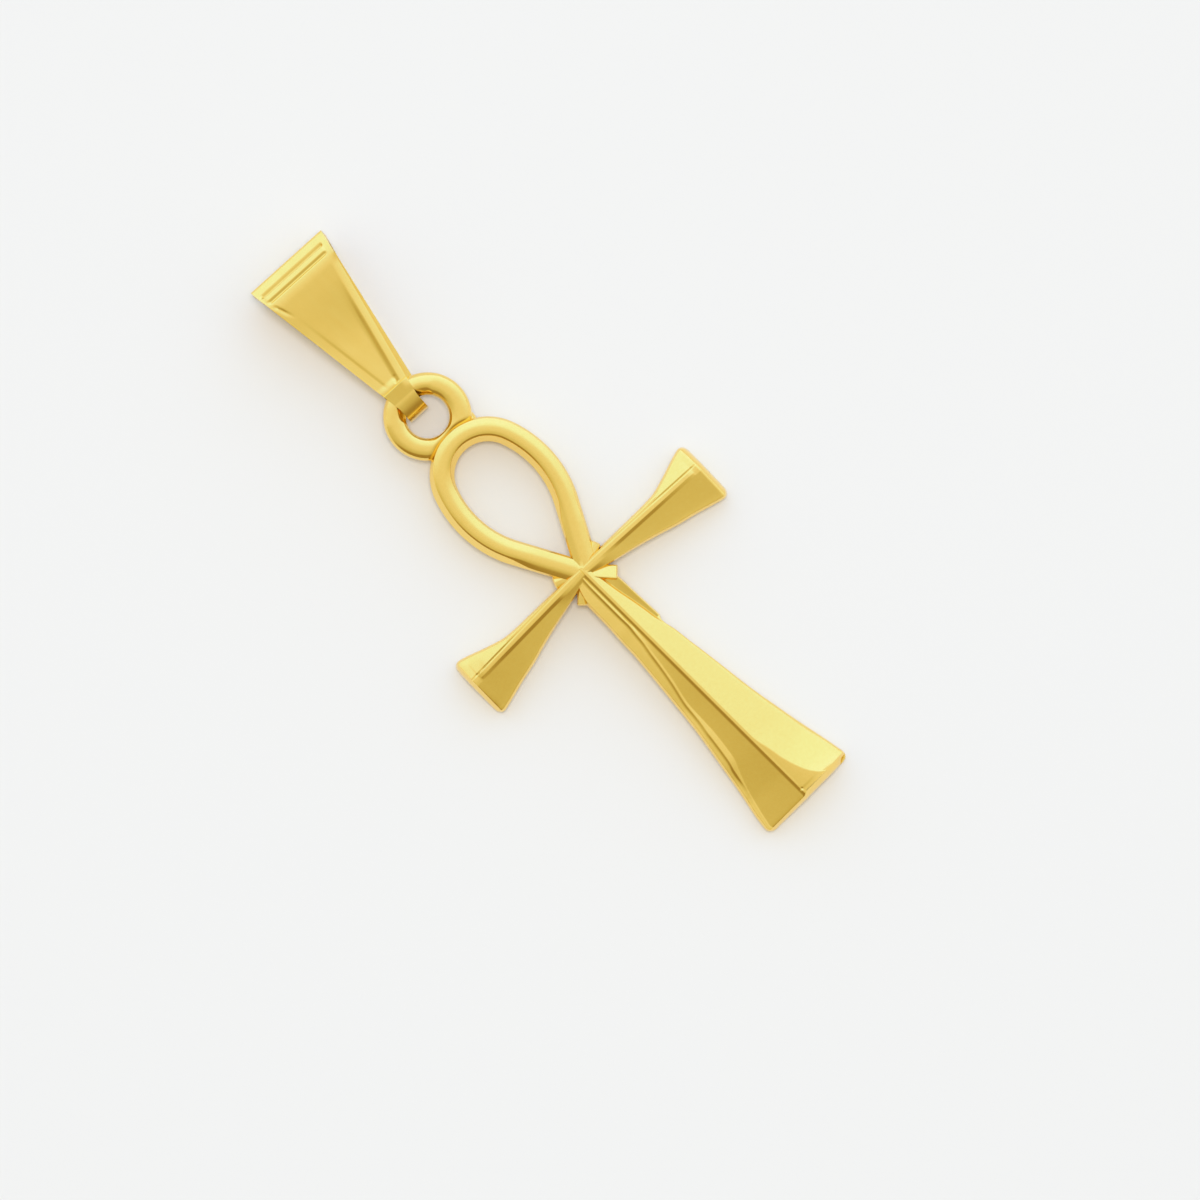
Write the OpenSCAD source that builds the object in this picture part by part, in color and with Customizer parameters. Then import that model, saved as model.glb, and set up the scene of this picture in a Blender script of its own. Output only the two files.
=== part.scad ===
// Ankh pendant lying on its flat back: a cast ankh with a soldered ring, and a folded bail.
// Origin at the crossing on the back plane, +X the right arm, +Y towards the bail, +Z the front.
// All lengths in millimetres, all angles in degrees.

/* [Ankh] */
// Length of the stem from the crossing to its end
stem_l = 14.4; // [12:0.1:17]
// Half of the stem's width at its end
stem_half_w = 2.5; // [2:0.05:3]
// Length of an arm from the crossing to its end
arm_l = 7.2; // [6:0.1:8.5]
// Width of an arm's end above the crossing line
arm_upper_w = 1.02; // [0.8:0.02:1.3]
// Width of an arm's end below the crossing line
arm_lower_w = 2.16; // [1.8:0.02:2.6]
// Turn of the arms, the right one towards the stem's end
arm_tilt = 1.2; // [0:0.1:2]
// Height of the ridges at the crossing
crest_h = 1.75; // [1.6:0.05:2.2]
// Height of the upright side walls of stem and arms
wall_h = 0.42; // [0.3:0.02:0.6]
// How far a shoulder stands above a straight roof face
bulge = 0.14; // [0:0.02:0.2]
// Width of the flat on top of a ridge
ridge_w = 0.1; // [0.06:0.02:0.2]
// Length of the sloping facet at the end of stem and arms
end_facet = 0.6; // [0.4:0.05:0.8]
// Radius of the corners at the ends of stem and arms
corner_r = 0.42; // [0.3:0.02:0.6]
// Chamfer along the back edges
back_chamfer = 0.12; // [0.05:0.01:0.2]

/* [Rays] */
// Reach of the two lower rays from the crossing
lower_ray_l = 1.58; // [1.4:0.02:2]
// Reach of the two upper rays from the crossing
upper_ray_l = 1.42; // [1.3:0.02:1.8]
// Angle of the lower rays below the arms
lower_ray_a = 46; // [40:1:52]
// Angle of the upper rays above the arms
upper_ray_a = 21; // [15:1:28]
// Half of the width of a ray's blunt end
ray_half_w = 0.26; // [0.2:0.01:0.35]

/* [Loop] */
// Height of the loop's centreline above the crossing
loop_reach = 8.12; // [7:0.1:9.5]
// Half of the loop's width, to its centreline
loop_half_w = 2.24; // [2.1:0.02:2.5]
// Radius of the loop's top bend, to its centreline
loop_top_r = 2.07; // [1.9:0.01:2.09]
// Radius of the loop's side bends, to its centreline
loop_side_r = 4.95; // [4.4:0.05:5.4]
// Where the loop's two legs would meet below the crossing
loop_foot = 0.36; // [0.1:0.02:0.5]
// How far the loop stands to the right of the stem's axis
loop_shift = 0.06; // [0:0.01:0.1]
// Width of the loop's band
band_w = 1.12; // [1:0.02:1.3]
// Thickness of the loop, from the back to its rounded crest
loop_h = 1.7; // [1.6:0.02:2]

/* [Ring] */
// Diameter of the ring's wire
wire_d = 1.03; // [0.8:0.01:1.1]
// Radius of the ring, to the centre of its wire
ring_r = 1.485; // [1.4:0.01:1.7]
// Metal of the ring between its hole and the loop's outer edge
ring_neck = 0.18; // [0.15:0.01:0.3]
// Radius of the bead of solder beside the ring
solder_r = 0.38; // [0.3:0.01:0.45]
// Place of the bead of solder on the loop's outer edge, as an angle above +X
solder_a = 62; // [58:1:70]

/* [Bail] */
// Length of the bail, seen from the front
bail_l = 9.12; // [8:0.05:11]
// Half of the bail's width at its upper fold
bail_half_w = 2.13; // [1.8:0.02:2.4]
// Half of the bail's width at its neck, where the tongue begins
neck_half_w = 0.8; // [0.7:0.02:0.9]
// Half of the width of the tongue's end, where it folds round the ring
tongue_half_w = 0.52; // [0.4:0.01:0.6]
// Length of the tongue's straight end, from the lower fold's edge
tongue_end = 0.74; // [0.5:0.02:0.9]
// Distance from the lower fold's edge to the neck
tongue_l = 1.62; // [1.4:0.02:2]
// Thickness of the bail's sheet
sheet = 0.22; // [0.15:0.01:0.35]
// Least space between the bail's lower fold and the ring's wire
fold_gap = 0.1; // [0.05:0.01:0.2]
// Depth of the bail at its upper fold
bail_depth = 2.7; // [2.3:0.05:3.6]
// Turn of the bail to the right, seen from the front
bail_skew = 3.2; // [0:0.1:6]
// How far the back leaf shows past the front leaf at the neck
leaf_show = 0.24; // [0:0.02:0.4]

/* [Bail front] */
// Distance from the upper fold's edge to the middle of the first groove
bar_start = 0.47; // [0.4:0.01:0.6]
// Distance between the middles of the two grooves beside the raised bar
bar_pitch = 0.44; // [0.3:0.01:0.5]
// How far the bar stands above the leaf
bar_rise = 0.05; // [0.02:0.01:0.08]
// Width of a groove
groove_w = 0.14; // [0.08:0.01:0.16]
// Width of the flange beside the sunk panel
flange_w = 0.36; // [0.3:0.01:0.45]
// Depth of the sunk panel
panel_d = 0.05; // [0.02:0.01:0.1]
// Distance from the upper fold's edge to the panel
panel_start = 2; // [1.6:0.05:2.5]
// Distance from the lower fold's edge to the panel
panel_end = 1.72; // [1.65:0.01:2]

/* [Hidden] */
$fn = 96;

// Sections of the stem, as shares: place of its length, widths of its end's half width,
// shoulders of the width on their side, and ridge height of the crest's height.
// Left and right are as seen from the front. The right side steps in where its low strip ends.
// Columns: along, left width, right width, ridge offset, left shoulder, right shoulder, ridge height.
STEM = [
    [-0.01, 0.16, 0.16, 0, 0.30, 0.50, 0.98],
    [0.00,  0.22, 0.22, 0, 0.30, 0.50, 1.00],
    [0.09,  0.39, 0.39, 0, 0.26, 0.60, 0.99],
    [0.18,  0.40, 0.40, 0, 0.30, 0.72, 0.97],
    [0.27,  0.43, 0.42, 0, 0.38, 0.74, 0.95],
    [0.28,  0.43, 0.38, 0, 0.38, 0.90, 0.95],
    [0.33,  0.45, 0.43, 0, 0.42, 0.90, 0.94],
    [0.44,  0.51, 0.51, 0, 0.52, 0.90, 0.92],
    [0.60,  0.62, 0.62, 0, 0.62, 0.90, 0.89],
    [0.76,  0.76, 0.76, 0, 0.74, 0.90, 0.86],
    [0.90,  0.92, 0.92, 0, 0.86, 0.90, 0.83],
    [1.00,  1.02, 1.02, 0, 0.90, 0.90, 0.81]
];

// Sections of an arm, as shares like the stem's. Left is the arm's upper side, its width a
// share of the upper width, and the ridge offset is a share of the lower width, downwards.
ARM = [
    [0.02,  0.11, 0.16, 0.002, 0.50, 0.50, 1.00],
    [0.18,  0.22, 0.31, 0.020, 0.60, 0.60, 0.98],
    [0.34,  0.22, 0.43, 0.038, 0.60, 0.70, 0.95],
    [0.50,  0.22, 0.57, 0.056, 0.60, 0.78, 0.92],
    [0.62,  0.25, 0.69, 0.069, 0.62, 0.82, 0.90],
    [0.76,  0.50, 0.80, 0.084, 0.66, 0.85, 0.86],
    [0.90,  0.84, 0.93, 0.100, 0.70, 0.88, 0.82],
    [1.00,  1.02, 1.00, 0.110, 0.74, 0.88, 0.80]
];

// Sections of a ray, as shares like the stem's, its widths of the blunt end's half width.
RAY = [
    [-0.10, 0.70, 0.70, 0, 0.60, 0.60, 0.86],
    [0.45,  0.90, 0.90, 0, 0.60, 0.60, 0.80],
    [1.00,  1.00, 1.00, 0, 0.60, 0.60, 0.64]
];

// Places of the sections that turn a corner, as shares of a quarter turn.
CORNER_TURN = [0, 0.35, 0.65, 1];

// Steps round the loop's crest, and along each of its bends
CREST_STEPS = 10;
BEND_STEPS = 10;

// Height of the loop's upright sides
loop_wall = loop_h - band_w / 2;
// Centre of the loop's top bend
top_y = loop_reach - loop_top_r;
// Centre of the right side bend
side_x = loop_half_w - loop_side_r;
side_y = top_y - sqrt(pow(loop_side_r - loop_top_r, 2) - pow(side_x, 2));
// Angle above +X at which the top bend passes into a side bend
bend_a = atan2(top_y - side_y, -side_x);
// Lean of a leg from the pendant's axis, tangent to the side bend and through the foot
foot_d = norm([side_x, side_y + loop_foot]);
leg_a = asin(loop_side_r / foot_d) - atan2(-side_x, side_y + loop_foot);
// Distance of a leg's end from the point where the two would meet
leg_gap = band_w / 3;

// Height of the round core in the middle, under the ridges of the rays
hub_h = RAY[0][6] * crest_h;

wire_r = wire_d / 2;
ring_out_r = ring_r + wire_r;
tongue_shift = -leaf_show / 2;
// The lower fold goes round the wire, which curves away from it under the tongue's left side
tongue_corner = (tongue_half_w - tongue_shift + neck_half_w) / 2;
wire_back = sqrt(pow(ring_r - wire_r, 2) - pow(tongue_corner, 2));
fold_in_r = (ring_out_r - wire_back) / 2 + tongue_corner * sin(bail_skew) + fold_gap;
fold_r = fold_in_r + sheet;
ring_y = loop_reach + band_w / 2 + ring_neck + ring_r - wire_r;
ring_z = fold_r;
pivot_y = ring_y + (ring_out_r + wire_back) / 2;
top_r = bail_depth / 2;
// Distance from the lower fold's centre to the upper fold's centre, seen from the front
fold_span = bail_l - fold_r - top_r;
// Lean of the front leaf, with the back leaf flat
lean = 2 * atan((top_r - fold_r) / fold_span);
// The leaves' faces lie this much inside the folds' rounds, so that they meet in a clear line
leaf_sink = sheet / 70;
neck_y = tongue_l - fold_r;
bail_top = fold_span + top_r;

function between(a, b, t) = a + (b - a) * t;

// Value of a table's column at a place along it, straight from row to row.
function column(rows, i, along) = lookup(along, [for (r = rows) [r[0], r[i]]]);

// Triangles of a closed tube through a number of sections with n points each
function tube_faces(sections, n) =
    let (last = (sections - 1) * n)
    concat(
        [
            for (i = [0:sections - 2]) for (j = [0:n - 1])
            let (a = i * n, b = a + n, k = (j + 1) % n)
            each [[a + j, b + k, a + k], [a + j, b + j, b + k]]
        ],
        [for (j = [1:n - 2]) each [[0, j, j + 1], [last, last + j + 1, last + j]]]
    );

// One section of a tapering limb: ten points round it, seen from its end, at distance s.
// The widths of both sides, the ridge's place, the shoulders and the ridge's height follow the rows;
// cut narrows both sides at a round corner, and fall opens the ridge into the end facet.
function section(rows, l, left_w, right_w, foot_h, s, cut, fall) =
    let (
        a = s / l,
        lw = column(rows, 1, a) * left_w - cut,
        rw = column(rows, 2, a) * right_w - cut,
        mid = column(rows, 3, a) * right_w,
        top = column(rows, 6, a) * crest_h,
        low = foot_h,
        ls = column(rows, 4, a),
        rs = column(rows, 5, a),
        left_sh = between(mid, -lw, ls),
        right_sh = between(mid, rw, rs),
        left_z = between(top, low, ls) + bulge,
        right_z = between(top, low, rs) + bulge,
        rl = between(mid - ridge_w / 2, left_sh, fall),
        rr = between(mid + ridge_w / 2, right_sh, fall),
        end_z = between(top, low, fall),
        c = min(back_chamfer, lw / 2)
    )
    [
        [s, -lw + c, 0],
        [s, -lw, c],
        [s, -lw, low],
        [s, left_sh, min(left_z, between(left_z, low, fall))],
        [s, rl, end_z],
        [s, rr, end_z],
        [s, right_sh, min(right_z, between(right_z, low, fall))],
        [s, rw, low],
        [s, rw, c],
        [s, rw - c, 0]
    ];

// A limb along +X with its left side towards +Y, as a loft through its sections.
module limb(rows, l, left_w, right_w, foot_h, facet, r) {
    body = [for (row = rows) if (row[0] * l < l - facet - r / 4) row[0] * l];
    tip = [for (t = CORNER_TURN) let (q = t * 90) [l - r + r * sin(q), r * (1 - cos(q))]];
    hip = l - facet;
    sections = concat(
        [for (s = body) section(rows, l, left_w, right_w, foot_h, s, 0, 0)],
        [section(rows, l, left_w, right_w, foot_h, hip, 0, 0)],
        [for (p = tip) section(rows, l, left_w, right_w, foot_h, p[0], p[1], (p[0] - hip) / facet)]
    );
    points = [for (ring = sections) for (p = ring) [p[0], -p[1], p[2]]];
    polyhedron(points = points, faces = tube_faces(len(sections), len(sections[0])));
}

// Half-round section of the loop, standing on the back plane: [across, height] points
function band_section() =
    let (c = back_chamfer, w = band_w / 2)
    concat(
        [[-w, c], [-w + c, 0], [w - c, 0], [w, c]],
        [for (i = [0:CREST_STEPS]) let (a = 180 * i / CREST_STEPS) [w * cos(a), loop_wall + w * sin(a)]]
    );

// Centreline of the loop's right half, from its top to its foot: [x, y, direction] stations,
// where the direction is the angle above +X of the line that points outwards across the band.
function half_loop() = concat(
    [
        for (i = [0:BEND_STEPS])
        let (a = between(90, bend_a, i / BEND_STEPS))
        [loop_top_r * cos(a), top_y + loop_top_r * sin(a), a]
    ],
    [
        for (i = [1:BEND_STEPS])
        let (a = between(bend_a, -leg_a, i / BEND_STEPS))
        [side_x + loop_side_r * cos(a), side_y + loop_side_r * sin(a), a]
    ],
    [[leg_gap * sin(leg_a), leg_gap * cos(leg_a) - loop_foot, -leg_a]]
);

// One half of the loop, swept along its centreline
module loop_side() {
    flat = band_section();
    stations = half_loop();
    points = [
        for (s = stations) for (p = flat)
        [s[0] + p[0] * cos(s[2]), s[1] + p[0] * sin(s[2]), p[1]]
    ];
    polyhedron(points = points, faces = tube_faces(len(stations), len(flat)));
}

module loop() {
    loop_side();
    mirror([1, 0, 0]) loop_side();
}

module ring() {
    difference() {
        translate([0, ring_y, ring_z])
            rotate_extrude()
            translate([ring_r, 0]) circle(d = wire_d);
        translate([loop_shift, top_y, 0]) cylinder(r = loop_top_r + band_w / 4, h = 2 * crest_h);
    }
}

module solder() {
    seat = loop_top_r + band_w / 2;
    translate([loop_shift + seat * cos(solder_a), top_y + seat * sin(solder_a), ring_z - wire_r / 2])
        sphere(r = solder_r);
}

module ray(l, a) {
    rotate([0, 0, a])
        limb(RAY, l, ray_half_w, ray_half_w, 2 * wall_h, l / 4, ray_half_w / 2);
}

// Loop, stem, arms and rays, as they are cast in one
module casting() {
    union() {
        translate([loop_shift, 0, 0]) loop();
        cylinder(r = ray_half_w, h = hub_h);
        rotate([0, 0, -90])
            mirror([0, 1, 0])
            limb(STEM, stem_l, stem_half_w, stem_half_w, wall_h, end_facet, corner_r);
        for (side = [0, 1]) {
            rotate([0, 0, -arm_tilt])
                mirror([side, 0, 0])
                limb(ARM, arm_l, arm_upper_w, arm_lower_w, wall_h, end_facet, corner_r);
            mirror([side, 0, 0]) {
                ray(lower_ray_l, -lower_ray_a);
                ray(upper_ray_l, upper_ray_a);
            }
        }
    }
}

module ankh() {
    color("gold") union() {
        casting();
        ring();
        solder();
    }
}

// Side view of the bail's outside, or of its hollow with the sheet's thickness taken off.
// The lower fold's centre is at [0, fold_r], and the back leaf's face is the line y = 0.
module side_view(off) {
    low = fold_r - off;
    high = top_r - off;
    flat_low = low - leaf_sink;
    flat_high = high - leaf_sink;
    translate([0, fold_r]) circle(r = low);
    translate([fold_span, top_r]) circle(r = high);
    polygon([
        [0, fold_r - flat_low],
        [fold_span, top_r - flat_high],
        [fold_span - flat_high * sin(lean), top_r + flat_high * cos(lean)],
        [-flat_low * sin(lean), fold_r + flat_low * cos(lean)]
    ]);
}

// Half of the side view, in front of the line through both folds' centres or behind it
module side_half(front) {
    far = bail_l;
    slope = (top_r - fold_r) / fold_span;
    edge = front ? 2 * far : -far;
    polygon([
        [-far, fold_r - far * slope],
        [2 * far, fold_r + 2 * far * slope],
        [2 * far, edge],
        [-far, edge]
    ]);
}

// Outline of a leaf, seen from the front. The back leaf shows past the front leaf's right edge.
module leaf_outline(front) {
    show = front ? leaf_show : 0;
    past = sheet;
    tongue_y = tongue_end - fold_r;
    polygon([
        [tongue_shift - tongue_half_w, -fold_r - past],
        [tongue_shift + tongue_half_w, -fold_r - past],
        [tongue_shift + tongue_half_w, tongue_y],
        [neck_half_w - show, neck_y],
        [bail_half_w, bail_top],
        [bail_half_w, bail_top + past],
        [-bail_half_w, bail_top + past],
        [-bail_half_w, bail_top],
        [-neck_half_w, neck_y],
        [tongue_shift - tongue_half_w, tongue_y]
    ]);
}

module leaf(front) {
    intersection() {
        rotate([90, 0, 90])
            linear_extrude(height = 3 * bail_half_w, center = true)
            intersection() {
                difference() {
                    side_view(0);
                    side_view(sheet);
                }
                side_half(front);
            }
        linear_extrude(height = 2 * bail_depth) leaf_outline(front);
    }
}

// A round rod across the bail on its upper fold, at a distance from the fold's edge
module fold_rod(from_edge, r, sink) {
    a = acos(1 - from_edge / top_r);
    reach = top_r - sink;
    translate([0, fold_span + reach * cos(a), top_r + reach * sin(a)])
        rotate([0, 90, 0])
        cylinder(r = r, h = 3 * bail_half_w, center = true);
}

// The raised bar, kept within the leaf's outline
module bar() {
    bar_r = (bar_pitch - groove_w) / 2;
    intersection() {
        fold_rod(bar_start + bar_pitch / 2, bar_r, bar_r - bar_rise);
        linear_extrude(height = 2 * bail_depth) leaf_outline(true);
    }
}

// The sunk panel between the flanges, as a wedge that follows the front leaf's lean
module panel() {
    low_y = panel_end - fold_r;
    high_y = bail_top - panel_start;
    grow = (bail_half_w - neck_half_w) / (bail_top - neck_y);
    low_w = neck_half_w + (low_y - neck_y) * grow - flange_w;
    high_w = neck_half_w + (high_y - neck_y) * grow - flange_w;
    right_grow = (bail_half_w - neck_half_w + leaf_show) / (bail_top - neck_y);
    low_right = neck_half_w - leaf_show + (low_y - neck_y) * right_grow - flange_w;
    high_right = neck_half_w - leaf_show + (high_y - neck_y) * right_grow - flange_w;
    translate([0, 0, fold_r])
        rotate([lean, 0, 0])
        translate([0, 0, fold_r - panel_d])
        linear_extrude(height = sheet)
        polygon([[-low_w, low_y], [low_right, low_y], [high_right, high_y], [-high_w, high_y]]);
}

module bail() {
    color("goldenrod")
        translate([0, pivot_y, 0])
        rotate([0, 0, -bail_skew])
        union() {
            difference() {
                union() {
                    leaf(true);
                    leaf(false);
                }
                panel();
                fold_rod(bar_start, groove_w / 2, 0);
                fold_rod(bar_start + bar_pitch, groove_w / 2, 0);
            }
            bar();
        }
}

ankh();
bail();
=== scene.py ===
"""Gold ankh pendant on a pale studio floor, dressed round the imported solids."""

import logging
import math
from collections.abc import Callable, Sequence
from dataclasses import dataclass, field
from enum import Enum
from typing import NamedTuple

import bmesh
import bpy
from mathutils import Matrix, Vector


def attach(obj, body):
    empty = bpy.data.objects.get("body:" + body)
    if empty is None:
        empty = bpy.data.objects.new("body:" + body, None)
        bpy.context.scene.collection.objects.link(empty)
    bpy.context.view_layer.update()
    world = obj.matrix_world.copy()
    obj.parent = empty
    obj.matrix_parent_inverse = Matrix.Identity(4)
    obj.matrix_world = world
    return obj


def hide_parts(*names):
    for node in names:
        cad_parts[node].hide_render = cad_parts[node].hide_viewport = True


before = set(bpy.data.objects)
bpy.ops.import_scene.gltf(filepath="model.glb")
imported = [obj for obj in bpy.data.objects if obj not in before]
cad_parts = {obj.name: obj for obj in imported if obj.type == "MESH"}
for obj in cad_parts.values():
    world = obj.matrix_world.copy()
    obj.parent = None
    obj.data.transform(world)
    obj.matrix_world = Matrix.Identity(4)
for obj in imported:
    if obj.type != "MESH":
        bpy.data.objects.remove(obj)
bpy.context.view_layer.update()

LOG = logging.getLogger("ankh")
MM = 0.001
MERGE_GAP = 1e-5
TINY = 1e-6
CORNER_SHARE = 0.45
Triple = tuple[float, float, float]
Crown = list[Triple]
Outline = list[Vector]
Source = float | bpy.types.NodeSocket


class Side(Enum):
    """Which way a limb's lateral axis points, seen from the front."""

    RIGHT = 1
    LEFT = -1


class LimbRow(NamedTuple):
    """One section of a limb, in shares of the limb's named sizes."""

    along: float
    left: float
    right: float
    ridge: float
    left_shoulder: float
    right_shoulder: float
    crest: float
    ridge_break: float = 0.0
    strip: float = 0.05
    ledge: float = 0.0


class Cut(NamedTuple):
    """Measures of a limb at one place along it, which is given as a share of its length."""

    share: float
    left: float
    right: float
    ridge: float
    top: float
    left_low: float
    right_low: float


class Spot(NamedTuple):
    """A point of the bail's front leaf, as its place along the bail and its distances from three edges."""

    along: float
    from_top: float
    from_left: float
    from_right: float


def between(a: float, b: float, t: float) -> float:
    """Returns the value a share t of the way from a to b."""
    return a + (b - a) * t


def smooth_step(x: float) -> float:
    """Returns 0 below 0, 1 above 1 and an even rise between them."""
    x = min(max(x, 0.0), 1.0)
    return x * x * (3.0 - 2.0 * x)


def soft_min(a: float, b: float, k: float) -> float:
    """Returns the lower of two heights, with a round of size k where they cross.

    Args:
        a: First height.
        b: Second height.
        k: Size of the round.

    Returns:
        The blended height, never above either of the two.
    """
    h = max(k - abs(a - b), 0.0) / k
    return min(a, b) - h * h * k / 4.0


def smooth_column(rows: Sequence[LimbRow], name: str, along: float) -> float:
    """Reads a column of a table of sections on a smooth curve through its rows.

    Args:
        rows: Table of sections, in order of their place.
        name: Name of the column.
        along: Place along the limb, as a share of its length.

    Returns:
        The value there, which stays at the end rows' values beyond them.
    """
    xs = [r.along for r in rows]
    ys = [getattr(r, name) for r in rows]
    if along <= xs[0]:
        return ys[0]
    if along >= xs[-1]:
        return ys[-1]
    i = max(k for k in range(len(xs) - 1) if xs[k] <= along)
    slopes = [(ys[k + 1] - ys[k]) / (xs[k + 1] - xs[k]) for k in range(len(xs) - 1)]

    def tangent(k: int) -> float:
        """Works out the slope of the curve at a row.

        Args:
            k: Number of the row.

        Returns:
            The slope, which is flat where the rows turn.
        """
        if k == 0 or k == len(xs) - 1:
            return slopes[min(k, len(slopes) - 1)]
        a, b = slopes[k - 1], slopes[k]
        return 0.0 if a * b <= 0 else 2.0 * a * b / (a + b)

    width = xs[i + 1] - xs[i]
    t = (along - xs[i]) / width
    m0 = tangent(i) * width
    m1 = tangent(i + 1) * width
    t2 = t * t
    t3 = t * t * t
    return (
        (2 * t3 - 3 * t2 + 1) * ys[i]
        + (t3 - 2 * t2 + t) * m0
        + (3 * t2 - 2 * t3) * ys[i + 1]
        + (t3 - t2) * m1
    )


def rounded(points: Sequence[Triple], steps: int = 3) -> list[tuple[float, float]]:
    """Rounds the corners of a closed cross-section.

    Args:
        points: (across, height, radius) of each corner, in order.
        steps: Edges that each rounded corner is made of.

    Returns:
        (across, height) points, steps + 1 for each corner.
    """
    out: list[tuple[float, float]] = []
    count = len(points)
    for i, (x, z, r) in enumerate(points):
        here = Vector((x, z))
        back = Vector(points[i - 1][:2]) - here
        ahead = Vector(points[(i + 1) % count][:2]) - here
        reach_back = min(r, back.length * CORNER_SHARE)
        reach_ahead = min(r, ahead.length * CORNER_SHARE)
        start = here + back.normalized() * reach_back if back.length > 0 else here
        end = here + ahead.normalized() * reach_ahead if ahead.length > 0 else here
        for k in range(steps + 1):
            t = k / steps
            p = start * (1 - t) ** 2 + here * 2 * t * (1 - t) + end * t**2
            out.append((p.x, p.y))
    return out


def extrude_through(bm: bmesh.types.BMesh, sections: Sequence[Outline]) -> None:
    """Extrudes a first outline through a row of further outlines.

    Args:
        bm: Mesh that takes the body.
        sections: Outlines with the same number of points each.
    """
    face = bm.faces.new([bm.verts.new(p) for p in sections[0]])
    for section in sections[1:]:
        made = bmesh.ops.extrude_face_region(bm, geom=[face, *face.edges, *face.verts])["geom"]
        face = next(g for g in made if isinstance(g, bmesh.types.BMFace))
        for vert, point in zip(face.verts, section):
            vert.co = point


def close_up(bm: bmesh.types.BMesh) -> None:
    """Merges doubles and turns all the faces outwards."""
    bmesh.ops.remove_doubles(bm, verts=bm.verts[:], dist=MERGE_GAP)
    bmesh.ops.recalc_face_normals(bm, faces=bm.faces[:])


def make_object(name: str, bm: bmesh.types.BMesh, crease: float = 38.0) -> bpy.types.Object:
    """Turns a mesh into an object at the origin, still in millimetres.

    Args:
        name: Plain name of the piece.
        bm: Its mesh in millimetres, which is freed.
        crease: Angle in degrees above which an edge stays sharp.

    Returns:
        The new object, smooth but for its creases.
    """
    close_up(bm)
    mesh = bpy.data.meshes.new(name)
    bm.to_mesh(mesh)
    bm.free()
    mesh.shade_smooth()
    mesh.set_sharp_from_angle(angle=math.radians(crease))
    obj = bpy.data.objects.new(name, mesh)
    bpy.context.scene.collection.objects.link(obj)
    return obj


def settle(obj: bpy.types.Object, crease: float) -> None:
    """Applies an object's modifiers to its mesh and sets its creases again.

    Args:
        obj: The object with live modifiers.
        crease: Angle in degrees above which an edge stays sharp.
    """
    deps = bpy.context.evaluated_depsgraph_get()
    mesh = bpy.data.meshes.new_from_object(obj.evaluated_get(deps))
    obj.modifiers.clear()
    old = obj.data
    obj.data = mesh
    mesh.name = obj.name
    bpy.data.meshes.remove(old)
    mesh.shade_smooth()
    mesh.set_sharp_from_angle(angle=math.radians(crease))


def to_metres(obj: bpy.types.Object) -> None:
    """Scales an object's mesh from millimetres to metres."""
    obj.data.transform(Matrix.Scale(MM, 4))
    obj.data.update()


def fuse(base: bpy.types.Object, others: Sequence[bpy.types.Object], crease: float) -> None:
    """Joins solids into the first one as an exact union, all in one step.

    Args:
        base: Object that takes the union.
        others: Objects that go into it and are removed.
        crease: Angle in degrees above which an edge stays sharp.
    """
    scene_objects = bpy.context.scene.collection
    group = bpy.data.collections.new("to_join")
    scene_objects.children.link(group)
    for other in others:
        scene_objects.objects.unlink(other)
        group.objects.link(other)
    union = base.modifiers.new("union", "BOOLEAN")
    union.operation = "UNION"
    union.solver = "EXACT"
    union.operand_type = "COLLECTION"
    union.collection = group
    settle(base, crease)
    for other in others:
        mesh = other.data
        bpy.data.objects.remove(other)
        bpy.data.meshes.remove(mesh)
    bpy.data.collections.remove(group)


def add_node(tree: bpy.types.NodeTree, kind: str, **inputs: Source) -> bpy.types.Node:
    """Adds a shader node and feeds its inputs.

    Args:
        tree: Tree that takes the node.
        kind: Blender's name of the node's type.
        **inputs: Value or source socket of each input, whose name has _ in place of a space.

    Returns:
        The new node.
    """
    node = tree.nodes.new(kind)
    for name, value in inputs.items():
        feed(tree, node.inputs[name.replace("_", " ")], value)
    return node


def add_maths(tree: bpy.types.NodeTree, operation: str, *values: Source) -> bpy.types.NodeSocket:
    """Adds a Math node.

    Args:
        tree: Tree that takes the node.
        operation: Blender's name of the operation.
        *values: Value or source socket of each input, in order.

    Returns:
        The socket with the result.
    """
    node = tree.nodes.new("ShaderNodeMath")
    node.operation = operation
    for socket, value in zip(node.inputs, values):
        feed(tree, socket, value)
    return node.outputs["Value"]


def feed(tree: bpy.types.NodeTree, socket: bpy.types.NodeSocket, value: Source) -> None:
    """Links a socket to its source, or sets its value.

    Args:
        tree: Tree that both belong to.
        socket: The input.
        value: Its value or its source socket.
    """
    if isinstance(value, bpy.types.NodeSocket):
        tree.links.new(value, socket)
    else:
        socket.default_value = value


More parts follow.
